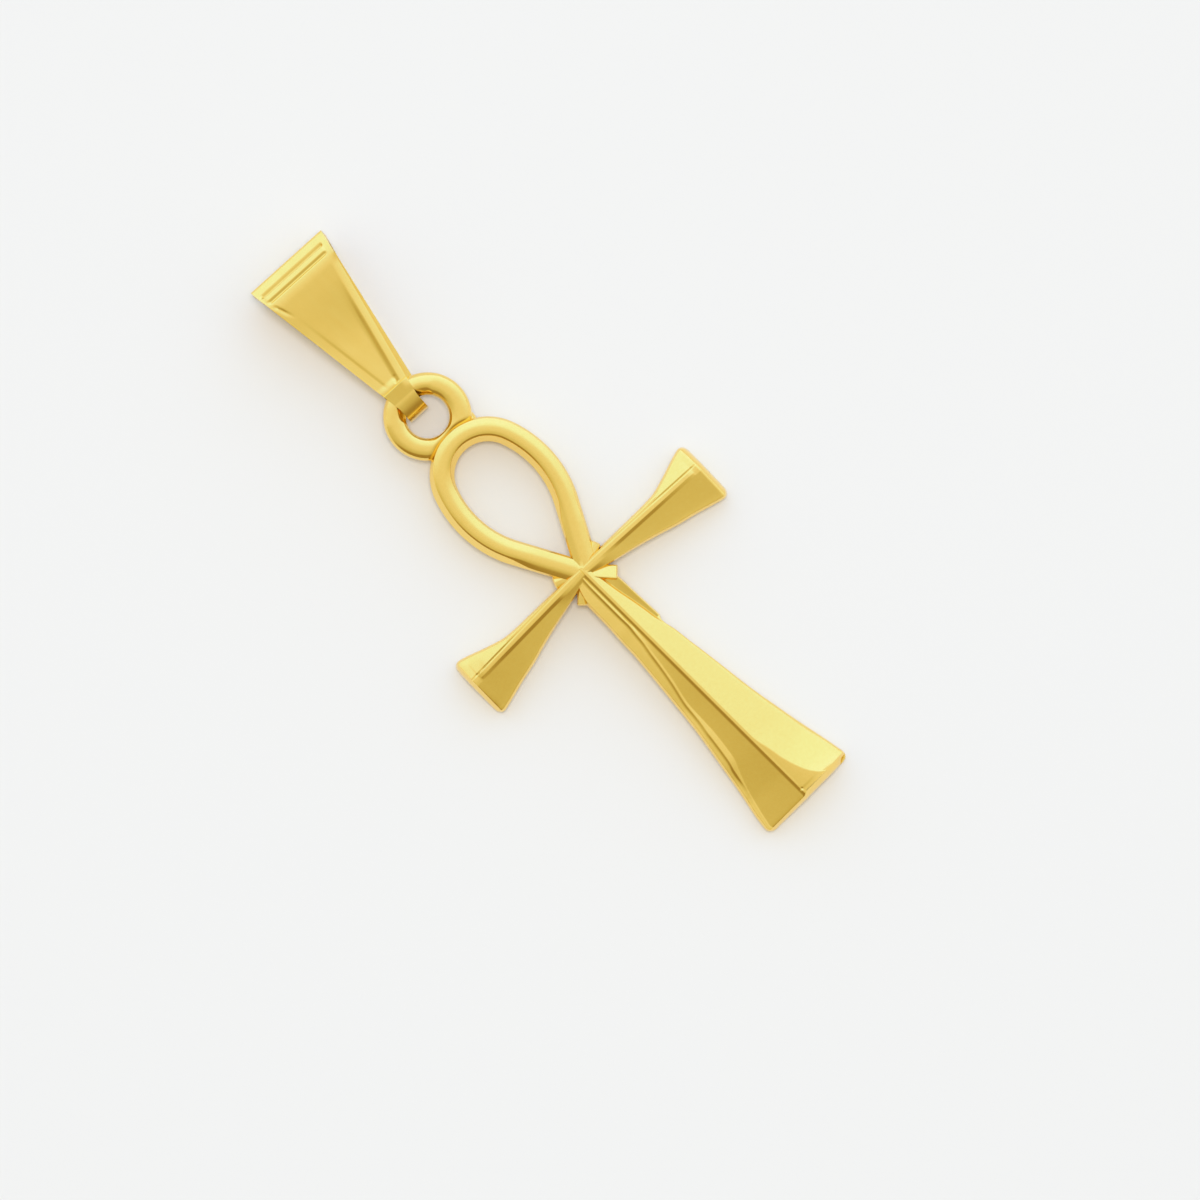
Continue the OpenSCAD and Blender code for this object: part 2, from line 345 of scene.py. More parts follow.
@dataclass(frozen=True)
class HandPolish:
    """Surface of hand-polished metal: soft waves, fine scratches and sparse pits."""

    wave_detail: float = 2.0
    wave_rough: float = 0.45
    scratch_detail: float = 3.0
    scratch_height: float = 0.006
    pit_cells: float = 1100.0
    pit_size: float = 0.09
    pit_height: float = 0.25

    def group(self) -> bpy.types.NodeTree:
        """Builds the node group that both finishes share.

        Returns:
            The group, which puts out the surface's height and its wear.
        """
        tree = bpy.data.node_groups.new("hand_polish", "ShaderNodeTree")
        for label in ("Wave Size", "Scratch Size", "Pits", "Stretch"):
            tree.interface.new_socket(name=label, in_out="INPUT", socket_type="NodeSocketFloat")
        for label in ("Height", "Wear"):
            tree.interface.new_socket(name=label, in_out="OUTPUT", socket_type="NodeSocketFloat")
        enter = tree.nodes.new("NodeGroupInput").outputs
        place = tree.nodes.new("ShaderNodeTexCoord").outputs["Object"]
        wave = add_node(
            tree,
            "ShaderNodeTexNoise",
            Vector=place,
            Scale=enter["Wave Size"],
            Detail=self.wave_detail,
            Roughness=self.wave_rough,
        )
        share = add_node(tree, "ShaderNodeCombineXYZ", X=1.0, Y=enter["Stretch"], Z=1.0)
        stretch = tree.nodes.new("ShaderNodeVectorMath")
        stretch.operation = "MULTIPLY"
        tree.links.new(place, stretch.inputs[0])
        tree.links.new(share.outputs["Vector"], stretch.inputs[1])
        scratch = add_node(
            tree,
            "ShaderNodeTexNoise",
            Vector=stretch.outputs["Vector"],
            Scale=enter["Scratch Size"],
            Detail=self.scratch_detail,
        )
        cells = add_node(tree, "ShaderNodeTexVoronoi", Vector=place, Scale=self.pit_cells)
        pit = add_node(
            tree,
            "ShaderNodeMapRange",
            Value=cells.outputs["Distance"],
            From_Max=self.pit_size,
            To_Min=-1.0,
            To_Max=0.0,
        )
        pick = add_node(tree, "ShaderNodeSeparateColor", Color=cells.outputs["Color"])
        some = add_maths(tree, "LESS_THAN", pick.outputs["Red"], enter["Pits"])
        pits = add_maths(tree, "MULTIPLY", pit.outputs["Result"], some)
        fine = add_maths(
            tree, "MULTIPLY_ADD", scratch.outputs["Fac"], self.scratch_height, wave.outputs["Fac"]
        )
        height = add_maths(tree, "MULTIPLY_ADD", pits, self.pit_height, fine)
        add_node(tree, "NodeGroupOutput", Height=height, Wear=scratch.outputs["Fac"])
        return tree


@dataclass(frozen=True)
class GoldFinish:
    """Polished yellow gold, with how even and how bright its polish is."""

    name: str
    color: Triple = (1.0, 0.74, 0.215)
    deep: Triple = (0.98, 0.68, 0.165)
    rough_low: float = 0.09
    rough_high: float = 0.17
    wave_size: float = 650.0
    scratch_size: float = 7000.0
    stretch: float = 1.0
    pits: float = 0.05
    relief: float = 0.000012

    def material(self, group: bpy.types.NodeTree) -> bpy.types.Material:
        """Builds the material.

        Args:
            group: The shared node group of the polished surface.

        Returns:
            A procedural metal material.
        """
        mat = bpy.data.materials.new(self.name)
        mat.use_nodes = True
        tree = mat.node_tree
        surface = tree.nodes.new("ShaderNodeGroup")
        surface.node_tree = group
        surface.inputs["Wave Size"].default_value = self.wave_size
        surface.inputs["Scratch Size"].default_value = self.scratch_size
        surface.inputs["Stretch"].default_value = self.stretch
        surface.inputs["Pits"].default_value = self.pits
        wear = surface.outputs["Wear"]
        tone = tree.nodes.new("ShaderNodeMix")
        tone.data_type = "RGBA"
        tone.inputs["A"].default_value = (*self.color, 1.0)
        tone.inputs["B"].default_value = (*self.deep, 1.0)
        tree.links.new(wear, tone.inputs["Factor"])
        rough = add_node(
            tree, "ShaderNodeMapRange", Value=wear, To_Min=self.rough_low, To_Max=self.rough_high
        )
        bump = add_node(
            tree, "ShaderNodeBump", Height=surface.outputs["Height"], Strength=1.0, Distance=self.relief
        )
        shader = tree.nodes["Principled BSDF"]
        shader.inputs["Metallic"].default_value = 1.0
        tree.links.new(tone.outputs["Result"], shader.inputs["Base Color"])
        tree.links.new(rough.outputs["Result"], shader.inputs["Roughness"])
        tree.links.new(bump.outputs["Normal"], shader.inputs["Normal"])
        return mat


CAST_GOLD = GoldFinish("cast_gold")
SHEET_GOLD = GoldFinish(
    "sheet_gold", rough_low=0.12, rough_high=0.2, scratch_size=3000.0, stretch=0.15, pits=0.02
)


@dataclass
class Limb:
    """A tapering, ridged limb along +X, with its left side towards +Y."""

    rows: Sequence[LimbRow]
    length: float
    left_w: float
    right_w: float
    crest_h: float = 1.75
    wall_h: float = 0.42
    left_pitch: float = 0.46
    right_pitch: float = 0.46
    bulge: float = 0.06
    ridge_w: float = 0.1
    rim_w: float = 0.1
    rim_h: float = 0.28
    end_pitch: float = 2.1
    end_left: float = 0.2
    end_right: float = 0.2
    end_soft: float = 0.004
    end_blend: float = 0.5
    tip_reach: float = 0.6
    corner_r: float = 0.42
    back_chamfer: float = 0.12
    end_round: float = 0.16
    body_step: float = 0.22
    tip_step: float = 0.035
    rim_share: float = 0.6
    rim_radii: tuple[float, float] = (0.04, 0.015)
    shoulder_r: float = 0.12
    ridge_r: float = 0.04
    edge_r: float = 0.02
    least_w: float = 0.03
    least_lid: float = 0.04
    lid_share: float = 0.97

    def read(self, name: str, along: float) -> float:
        """Returns a column of the limb's table at a place along it."""
        return smooth_column(self.rows, name, along)

    def places(self) -> list[float]:
        """Works out where the sections stand.

        Returns:
            Distances from the crossing, close together at the tip.
        """
        tip_start = self.length - self.tip_reach
        start = self.rows[0].along * self.length
        count = max(2, round((tip_start - start) / self.body_step))
        body = [between(start, tip_start, i / count) for i in range(count)]
        tips = max(2, round((self.length - tip_start) / self.tip_step))
        tip = [between(tip_start, self.length, i / tips) for i in range(tips + 1)]
        return body + sorted({*tip, self.length - self.end_left, self.length - self.end_right})

    def end_drop(self, rest: float, across: float) -> float:
        """Returns how far the sloping end lowers the face.

        Args:
            rest: Distance that is left to the limb's end.
            across: Place across the limb, with left as negative.

        Returns:
            The drop, which starts softly at the slope's upper edge.
        """
        to_right = smooth_step(0.5 + across / self.end_blend)
        wide = between(self.end_left, self.end_right, to_right)
        return -soft_min(0.0, (rest - wide) * self.end_pitch, self.end_soft)

    def rim(self, edge: Triple, face: Triple) -> Crown:
        """Works out the steep chamfer that stands between a wall and the face.

        Args:
            edge: Triple where wall and face would meet.
            face: Next corner of the face.

        Returns:
            The chamfer's lower and upper corner.
        """
        share = min(self.rim_w / max(abs(face[0] - edge[0]), TINY), self.rim_share)
        across = between(edge[0], face[0], share)
        height = between(edge[1], face[1], share)
        low_r, top_r = self.rim_radii
        return [(edge[0], height - self.rim_h, low_r), (across, height, top_r)]

    def shoulder(self, cut: Cut, side: Side) -> tuple[float, float]:
        """Works out one side's shoulder.

        Args:
            cut: Measures of the limb at that place.
            side: Side of the ridge.

        Returns:
            (across, height), with left as negative.
        """
        is_left = side is Side.LEFT
        wide = cut.left if is_left else cut.right
        low = cut.left_low if is_left else cut.right_low
        share = self.read("left_shoulder" if is_left else "right_shoulder", cut.share)
        across = between(cut.ridge, side.value * wide, share)
        return across, between(cut.top, low, share) + self.bulge * wide

    def crown(self, cut: Cut) -> Crown:
        """Works out the corners from the left wall's top to the right wall's top.

        Args:
            cut: Measures of the limb at that place.

        Returns:
            (across, height, radius) of each corner, with left as negative.
        """
        half = self.ridge_w / 2
        return [
            (-cut.left, cut.left_low, 0.0),
            (*self.shoulder(cut, Side.LEFT), self.shoulder_r),
            (cut.ridge - half, cut.top, self.ridge_r),
            (cut.ridge + half, cut.top, self.ridge_r),
            (*self.shoulder(cut, Side.RIGHT), self.shoulder_r),
            (cut.right, cut.right_low, 0.0),
        ]

    def cut_at(self, s: float) -> Cut:
        """Measures the limb at a distance from the crossing.

        Args:
            s: The distance.

        Returns:
            Its measures, which leave room for the rounded corners of the end.
        """
        a = s / self.length
        past = max(s - (self.length - self.corner_r), 0.0)
        off = self.corner_r - math.sqrt(max(self.corner_r**2 - past**2, 0.0))
        left = self.read("left", a) * self.left_w
        right = self.read("right", a) * self.right_w
        top = self.read("crest", a) * self.crest_h
        return Cut(
            share=a,
            left=max(left - off, self.least_w),
            right=max(right - off, self.least_w),
            ridge=self.read("ridge", a) * self.right_w,
            top=top,
            left_low=max(self.wall_h, top - left * self.left_pitch),
            right_low=max(self.wall_h, top - right * self.right_pitch),
        )

    def section(self, s: float) -> Outline:
        """Draws the closed outline of the limb.

        Args:
            s: Distance of the section from the crossing.

        Returns:
            The outline's points.
        """
        cut = self.cut_at(s)
        lw, rw = cut.left, cut.right
        crown = self.crown(cut)
        near = max(s - (self.length - self.end_round), 0.0)
        drop = self.end_round - math.sqrt(max(self.end_round**2 - near**2, 0.0))
        c = min(self.back_chamfer, lw / 2, rw / 2)
        inner = [(min(max(t, -lw * self.lid_share), rw * self.lid_share), z, r) for t, z, r in crown[1:-1]]
        left_rim = self.rim(crown[0], inner[0])
        right_rim = self.rim(crown[-1], inner[-1])
        lid = [
            (t, max(z - self.end_drop(self.length - s, t) - drop, c + self.least_lid), r)
            for t, z, r in [*left_rim, *inner, *reversed(right_rim)]
        ]
        edge = self.edge_r
        corners = [(-lw + c, 0.0, edge), (-lw, c, edge), *lid, (rw, c, edge), (rw - c, 0.0, edge)]
        return [Vector((s, -t, z)) for t, z in rounded(corners)]

    def build(self, name: str, turn: float, side: Side = Side.RIGHT, tilt: float = 0.0) -> bpy.types.Object:
        """Builds the limb as an object.

        Args:
            name: Name of the object.
            turn: Angle of the limb above +X, in degrees.
            side: Whether the limb is mirrored to the left.
            tilt: Turn that is added after the mirror, in degrees.

        Returns:
            The closed body.
        """
        bm = bmesh.new()
        extrude_through(bm, [self.section(s) for s in self.places()])
        turned = Matrix.Rotation(math.radians(turn), 4, "Z")
        mirrored = Matrix.Scale(side.value, 4, Vector((1, 0, 0)))
        tilted = Matrix.Rotation(math.radians(tilt), 4, "Z")
        bmesh.ops.transform(bm, matrix=tilted @ mirrored @ turned, verts=bm.verts[:])
        return make_object(name, bm)


STEM_ROWS = [
    LimbRow(-0.010, 0.16, 0.16, 0, 0.30, 0.34, 0.98, ledge=1),
    LimbRow(0.000, 0.22, 0.22, 0, 0.30, 0.34, 1.00, ledge=1),
    LimbRow(0.090, 0.39, 0.385, 0, 0.24, 0.40, 0.99, ledge=1),
    LimbRow(0.180, 0.40, 0.405, 0, 0.24, 0.60, 0.97, ledge=1),
    LimbRow(0.220, 0.415, 0.415, 0, 0.22, 0.68, 0.96, ledge=1),
    LimbRow(0.272, 0.43, 0.423, 0, 0.28, 0.77, 0.95, ledge=1),
    LimbRow(0.284, 0.43, 0.378, 0, 0.29, 0.90, 0.95, ledge=0),
    LimbRow(0.334, 0.45, 0.432, 0, 0.35, 0.90, 0.94, strip=0.09),
    LimbRow(0.390, 0.48, 0.470, 0, 0.42, 0.90, 0.93, strip=0.10),
    LimbRow(0.440, 0.51, 0.51, 0, 0.49, 0.90, 0.92, strip=0.11),
    LimbRow(0.540, 0.57, 0.58, 0, 0.64, 0.90, 0.90, strip=0.12),
    LimbRow(0.600, 0.61, 0.62, 0, 0.62, 0.90, 0.89, strip=0.18),
    LimbRow(0.650, 0.655, 0.66, 0, 0.60, 0.90, 0.88, strip=0.29),
    LimbRow(0.740, 0.745, 0.75, 0, 0.62, 0.90, 0.862, 0.00, strip=0.33),
    LimbRow(0.800, 0.805, 0.81, 0, 0.74, 0.90, 0.85, 0.08, strip=0.16),
    LimbRow(0.856, 0.865, 0.875, 0, 0.82, 0.90, 0.838, 0.14),
    LimbRow(0.926, 0.95, 0.955, 0, 0.86, 0.90, 0.825, 0.27),
    LimbRow(0.962, 0.98, 0.99, 0, 0.88, 0.90, 0.817, 0.40),
    LimbRow(1.000, 1.01, 1.03, 0, 0.90, 0.90, 0.81, 0.70),
]

ARM_ROWS = [
    LimbRow(0.01, 0.11, 0.15, 0.001, 0.50, 0.50, 1.00),
    LimbRow(0.18, 0.22, 0.31, 0.020, 0.60, 0.60, 0.98),
    LimbRow(0.34, 0.22, 0.43, 0.038, 0.60, 0.70, 0.95),
    LimbRow(0.50, 0.22, 0.57, 0.056, 0.60, 0.78, 0.92),
    LimbRow(0.62, 0.25, 0.69, 0.069, 0.62, 0.82, 0.90),
    LimbRow(0.76, 0.50, 0.80, 0.084, 0.66, 0.85, 0.86),
    LimbRow(0.90, 0.84, 0.93, 0.100, 0.70, 0.88, 0.82),
    LimbRow(1.00, 1.02, 1.01, 0.110, 0.74, 0.88, 0.80),
]

RAY_ROWS = [
    LimbRow(-0.10, 0.70, 0.70, 0, 0.60, 0.60, 0.94),
    LimbRow(0.45, 0.90, 0.90, 0, 0.60, 0.60, 0.91),
    LimbRow(1.00, 1.00, 1.00, 0, 0.60, 0.60, 0.86),
]

LIT_RAY_ROWS = [
    LimbRow(-0.10, 1.00, 0.90, 0.60, 0.80, 0.60, 0.98),
    LimbRow(0.45, 1.05, 1.35, 1.00, 0.85, 0.60, 0.965),
    LimbRow(1.00, 1.05, 1.45, 1.15, 0.90, 0.60, 0.92),
]


@dataclass
class Stem(Limb):
    """The long flared stem, with its wavy crease on the left and a flatter facet by the ridge's end."""

    rows: Sequence[LimbRow] = field(default_factory=lambda: STEM_ROWS)
    length: float = 14.4
    left_w: float = 2.5
    right_w: float = 2.5
    right_pitch: float = 0.49
    end_left: float = 0.17
    end_right: float = 0.33
    under_ridge: float = 0.13
    under_ridge_drop: float = 0.1
    strip_rise: float = 0.17
    crease_w: float = 0.11
    crease_drop: float = 0.085
    crease_end: float = 0.86
    outer_pitch: float = -0.05
    ledge_drop: float = 0.26
    ledge_step: float = 0.07
    ledge_rise: float = 0.24
    swoop_rise: float = 0.07
    strip_share: float = 0.4
    crease_share: float = 0.3
    crease_fade: float = 0.06
    flat_gap: float = 0.02
    shoulder_gap: float = 0.05
    gutter_share: tuple[float, float] = (0.35, 0.3)
    lip_share: tuple[float, float] = (0.7, 0.62)
    lip_w: float = 0.08
    lip_drop: float = 0.02
    left_radii: tuple[float, ...] = (0.06, 0.03, 0.03, 0.05, 0.02, 0.03, 0.05)
    shoulder_radii: tuple[float, float] = (0.1, 0.03)
    right_radii: tuple[float, float] = (0.03, 0.05)

    def left_corners(self, cut: Cut) -> list[tuple[float, float]]:
        """Works out the left wall's top, the crease, the strip beside it and the hollow below the ridge.

        Args:
            cut: Measures of the stem at that place.

        Returns:
            (across, height) of each corner, from the wall inwards.
        """
        inner_x, inner_z = self.shoulder(cut, Side.LEFT)
        room = cut.left + inner_x
        strip = min(self.read("strip", cut.share), room * self.strip_share)
        crease = min(self.crease_w, room * self.crease_share)
        strip_z = inner_z + strip * self.strip_rise
        crease_x = inner_x - strip - crease
        depth = self.crease_drop * smooth_step((self.crease_end - cut.share) / self.crease_fade)
        crease_z = strip_z - depth * crease / self.crease_w
        left_top = max(self.wall_h, crease_z - (cut.left + crease_x) * self.outer_pitch)
        return [
            (-cut.left, left_top),
            (crease_x, crease_z),
            (inner_x - strip, strip_z),
            (inner_x, inner_z),
            (-self.ridge_w / 2 - self.under_ridge, cut.top - self.under_ridge_drop),
        ]

    def right_corners(self, cut: Cut, ledge: float) -> list[tuple[float, float]]:
        """Works out the flat by the ridge, the shoulder and, near the crossing, the ledge beside it.

        Args:
            cut: Measures of the stem at that place.
            ledge: How much of the ledge there is, from 0 to 1.

        Returns:
            (across, height) of each corner, from the ridge outwards.
        """
        half = self.ridge_w / 2
        wide, low = cut.right, cut.right_low
        x, z = self.shoulder(cut, Side.RIGHT)
        flat = half + self.flat_gap + self.read("ridge_break", cut.share) * wide
        x = max(x, flat + self.shoulder_gap)
        gutter_x = between(between(x, wide, self.gutter_share[0]), x + self.ledge_step, ledge)
        gutter_z = between(between(z, low, self.gutter_share[1]), z - self.ledge_drop, ledge)
        lip_x = between(between(x, wide, self.lip_share[0]), wide - self.lip_w, ledge)
        ledge_z = gutter_z + (lip_x - gutter_x) * self.ledge_rise
        lip_z = between(between(z, low, self.lip_share[1]), ledge_z, ledge)
        return [
            (flat, cut.top + (flat - half) * self.swoop_rise),
            (x, z),
            (gutter_x, gutter_z),
            (lip_x, lip_z),
            (wide, between(low, lip_z - self.lip_drop, ledge)),
        ]

    def crown(self, cut: Cut) -> Crown:
        """Works out the corners from wall top to wall top, as Limb.crown says.

        Args:
            cut: Measures of the stem at that place.

        Returns:
            (across, height, radius) of each corner, with left as negative.
        """
        half = self.ridge_w / 2
        ledge = self.read("ledge", cut.share)
        ridge = [(-half, cut.top), (half, cut.top)]
        corners = self.left_corners(cut) + ridge + self.right_corners(cut, ledge)
        shoulder_r = between(*self.shoulder_radii, ledge)
        radii = [0.0, *self.left_radii, shoulder_r, *self.right_radii, 0.0]
        return [(x, z, r) for (x, z), r in zip(corners, radii)]


@dataclass
class Arm(Limb):
    """A flared arm with a narrow raised band along its ridge."""

    rows: Sequence[LimbRow] = field(default_factory=lambda: ARM_ROWS)
    length: float = 7.2
    left_w: float = 1.02
    right_w: float = 2.16
    left_pitch: float = 0.62
    right_pitch: float = 0.29
    band_half: float = 0.08
    groove: float = 0.04
    step_w: float = 0.15
    step_drop: float = 0.11
    flat_from: float = 0.8
    flat_drop: float = 0.035
    band_share: float = 0.4
    band_lip: float = 0.02
    groove_far: float = 0.13
    groove_near: float = 0.06
    foot_drop: float = 0.01
    step_from: float = 0.1
    step_over: float = 0.2
    step_low: float = 0.6
    low_from: float = 0.6
    low_over: float = 0.3
    band_to: float = 0.93
    groove_from: float = 0.55
    groove_over: float = 0.15
    groove_to: float = 0.95
    end_fade: float = 0.03
    shoulder_r: float = 0.08
    band_r: float = 0.01
    foot_r: float = 0.03
    flat_r: float = 0.3

    def crown(self, cut: Cut) -> Crown:
        """Works out the corners from wall top to wall top, as Limb.crown says.

        Args:
            cut: Measures of the arm at that place.

        Returns:
            (across, height, radius) of each corner, with left as negative.
        """
        a, mid = cut.share, cut.ridge
        half = min(self.band_half, cut.left * self.band_share)
        lower = between(1.0, self.step_low, smooth_step((a - self.low_from) / self.low_over))
        step = self.step_drop * smooth_step((a - self.step_from) / self.step_over) * lower
        band_z = cut.top - step * (1.0 - smooth_step((self.band_to - a) / self.end_fade))
        groove = self.groove * smooth_step((a - self.groove_from) / self.groove_over)
        groove *= smooth_step((self.groove_to - a) / self.end_fade)
        foot_x = mid + half + self.step_w
        foot_z = cut.top - step - self.foot_drop
        flat_x = between(foot_x, cut.right, self.flat_from)
        flat_z = between(foot_z, cut.right_low, self.flat_from)
        flat_z -= self.flat_drop * cut.right / self.right_w
        return [
            (-cut.left, cut.left_low, 0.0),
            (*self.shoulder(cut, Side.LEFT), self.shoulder_r),
            (mid - half - self.groove_far, band_z - self.band_lip, self.band_r),
            (mid - half - self.groove_near, band_z - self.band_lip - groove, self.band_r),
            (mid - half, band_z, self.band_r),
            (mid + half, band_z, self.band_r),
            (foot_x, foot_z, self.foot_r),
            (flat_x, flat_z, self.flat_r),
            (cut.right, cut.right_low, 0.0),
        ]


@dataclass
class Ray(Limb):
    """A short blunt ray between the arms and the stem or the loop."""

    rows: Sequence[LimbRow] = field(default_factory=lambda: RAY_ROWS)
    length: float = 1.58
    left_w: float = 0.27
    right_w: float = 0.27
    left_pitch: float = 0.5
    right_pitch: float = 0.5
    wall_h: float = 0.84
    ridge_w: float = 0.06
    rim_w: float = 0.035
    rim_h: float = 0.035
    end_pitch: float = 1.9
    end_left: float = 0.07
    end_right: float = 0.07
    tip_reach: float = 0.35
    corner_r: float = 0.07
    end_round: float = 0.05
    body_step: float = 0.15
    tip_step: float = 0.03


@dataclass
class Loop:
    """The teardrop loop, a half-round band swept round its centreline."""

    reach: float = 8.12
    half_w: float = 2.24
    top_r: float = 2.07
    side_r: float = 4.95
    foot: float = 0.36
    shift: float = 0.06
    band_w: float = 1.12
    height: float = 1.7
    chamfer: float = 0.12
    edge_r: float = 0.02
    corner_steps: int = 4
    top_steps: int = 24
    side_steps: int = 30
    leg_steps: int = 8
    steep_flank: tuple[Triple, ...] = (
        (1.0, 0.58, 0.04),
        (0.76, 0.315, 0.03),
        (0.55, 0.085, 0.02),
        (0.42, 0.022, 0.03),
        (0.2, 0.0, 0.12),
    )
    soft_flank: tuple[Triple, ...] = (
        (1.0, 0.42, 0.04),
        (0.86, 0.215, 0.02),
        (0.85, 0.2, 0.02),
        (0.42, 0.03, 0.1),
        (0.2, 0.0, 0.12),
    )
    soft_turn: float = 0.7854
    soft_spread: float = 0.9
    soft_foot: float = 1.8
    soft_over: float = 1.2
    foot_ease: float = 0.6

    @property
    def top_y(self) -> float:
        """Height of the top bend's centre above the crossing."""
        return self.reach - self.top_r

    def flank(self, heading: float, y: float) -> Crown:
        """Works out one half of the section, from the back face to the crest.

        Args:
            heading: Direction in the plane of the pendant that this half faces, in radians.
            y: Place of the section above the crossing.

        Returns:
            (outwards, height, radius) of each corner.
        """
        w, c = self.band_w / 2, self.chamfer
        lit = smooth_step(0.5 + self.soft_spread * math.cos(heading - self.soft_turn))
        foot = 1.0 - smooth_step((y - self.soft_foot) / self.soft_over)
        soft = max(lit, foot)
        pairs = zip(self.steep_flank, self.soft_flank)
        mixed = [[between(a, b, soft) for a, b in zip(steep, gentle)] for steep, gentle in pairs]
        shares, drops, radii = zip(*mixed)
        ease = between(1.0, self.foot_ease, smooth_step(2.0 * foot - 1.0))
        eased = [drop * ease for drop in drops[1:]]
        heights = [self.height - drop for drop in (eased[0] + (drops[0] - drops[1]), *eased)]
        face = [(share * w, height, r) for share, height, r in zip(shares, heights, radii)]
        return [(w - c, 0.0, self.edge_r), (w, c, self.edge_r), *face]

    def section(self, heading: float, y: float) -> list[tuple[float, float]]:
        """Returns the band's section as (outwards, height) points, where outwards is a heading in radians."""
        inner = [(-x, z, r) for x, z, r in reversed(self.flank(heading + math.pi, y))]
        return rounded(self.flank(heading, y) + inner, self.corner_steps)

    def stations(self) -> list[Triple]:
        """Works out the places of the sections round the centreline.

        Returns:
            (x, y, direction) of each, from the left foot to the right one.
        """
        side_x = self.half_w - self.side_r
        side_y = self.top_y - math.sqrt((self.side_r - self.top_r) ** 2 - side_x**2)
        bend = math.atan2(self.top_y - side_y, -side_x)
        foot_d = math.hypot(side_x, side_y + self.foot)
        leg = math.asin(self.side_r / foot_d) - math.atan2(-side_x, side_y + self.foot)
        gap = self.band_w / 3
        half = []
        for i in range(self.top_steps + 1):
            a = between(math.pi / 2, bend, i / self.top_steps)
            half.append((self.top_r * math.cos(a), self.top_y + self.top_r * math.sin(a), a))
        for i in range(1, self.side_steps + 1):
            a = between(bend, -leg, i / self.side_steps)
            half.append((side_x + self.side_r * math.cos(a), side_y + self.side_r * math.sin(a), a))
        last = half[-1]
        end = (gap * math.sin(leg), gap * math.cos(leg) - self.foot)
        for i in range(1, self.leg_steps + 1):
            t = i / self.leg_steps
            half.append((between(last[0], end[0], t), between(last[1], end[1], t), -leg))
        left = [(-x, y, math.pi - a) for x, y, a in reversed(half[1:])]
        return left + half

    def build(self) -> bpy.types.Object:
        """Builds the loop by drawing its section along the centreline.

        Returns:
            The closed body.
        """
        sections = []
        for x, y, a in self.stations():
            out_x, out_y = math.cos(a), math.sin(a)
            outline = [Vector((self.shift + x + p * out_x, y + p * out_y, z)) for p, z in self.section(a, y)]
            sections.append(outline)
        bm = bmesh.new()
        extrude_through(bm, sections)
        return make_object("loop", bm)


@dataclass
class Ring:
    """The round-wire ring soldered to the loop's top, with its bead of solder."""

    wire_r: float = 0.515
    radius: float = 1.485
    y: float = 9.83
    z: float = 1.03519
    wire_segments: int = 64
    ring_steps: int = 160
    flatness: float = 2.7
    bail_from: float = 0.5
    bail_over: float = 0.25
    seam_out: float = 0.43
    seam_w: float = 0.26
    seam_depth: float = 0.16
    seam_rise: float = 0.4
    seat_x: float = 1.295
    seat_y: float = 8.372
    bead_r: float = 0.38
    bead_shape: Triple = (0.9, 1.3, 1.1)
    bead_turn: float = -8.0
    bead_shift: tuple[float, float] = (-0.07, 0.08)

    def build(self, loop: Loop) -> bpy.types.Object:
        """Builds the ring by spinning a circle about its own centre, with a groove beside the loop.

        Args:
            loop: The loop that the ring is soldered to.

        Returns:
            The closed body.
        """
        bm = bmesh.new()
        place = Matrix.Translation((self.radius, 0, 0)) @ Matrix.Rotation(math.pi / 2, 4, "X")
        made = bmesh.ops.create_circle(bm, segments=self.wire_segments, radius=self.wire_r, matrix=place)
        geom = made["verts"] + list({e for v in made["verts"] for e in v.link_edges})
        turn = {"angle": 2 * math.pi, "axis": (0, 0, 1), "cent": (0, 0, 0)}
        bmesh.ops.spin(bm, geom=geom, steps=self.ring_steps, use_merge=True, **turn)
        for vert in bm.verts:
            self.flatten(vert)
        bmesh.ops.translate(bm, vec=(0, self.y, self.z), verts=bm.verts[:])
        for vert in bm.verts:
            out = math.hypot(vert.co.x - loop.shift, vert.co.y - loop.top_y) - loop.top_r
            near = 1.0 - abs(out - self.seam_out) / self.seam_w
            above = smooth_step((vert.co.z - self.z) / self.seam_rise)
            vert.co.z -= self.seam_depth * smooth_step(near) * above
        return make_object("ring", bm)

    def flatten(self, vert: bmesh.types.BMVert) -> None:
        """Gives the wire's upper half a flatter top, all round but where the bail turns.

        Args:
            vert: Triple of the wire, with the ring's centre still at the origin.
        """
        flat = vert.co.xy
        out, up = flat.length - self.radius, vert.co.z
        if up <= 0.0:
            return
        p = self.flatness
        size = (abs(out) ** p + up**p) ** (1.0 / p)
        share = 1.0 - smooth_step((flat.normalized().y - self.bail_from) / self.bail_over)
        grow = between(1.0, self.wire_r / size, share)
        place = flat.normalized() * (self.radius + out * grow)
        vert.co = (place.x, place.y, up * grow)

    def bead(self) -> bpy.types.Object:
        """Builds the bead of solder, drawn out along the two edges that it joins.

        Returns:
            The closed body.
        """
        bm = bmesh.new()
        bmesh.ops.create_uvsphere(bm, u_segments=32, v_segments=20, radius=self.bead_r)
        bmesh.ops.scale(bm, vec=self.bead_shape, verts=bm.verts[:])
        turn = Matrix.Rotation(math.radians(self.bead_turn), 3, "Z")
        bmesh.ops.rotate(bm, cent=(0, 0, 0), matrix=turn, verts=bm.verts[:])
        x = self.seat_x + self.bead_shift[0]
        y = self.seat_y + self.bead_shift[1]
        bmesh.ops.translate(bm, vec=(x, y, self.z - self.wire_r / 2), verts=bm.verts[:])
        return make_object("bead", bm)


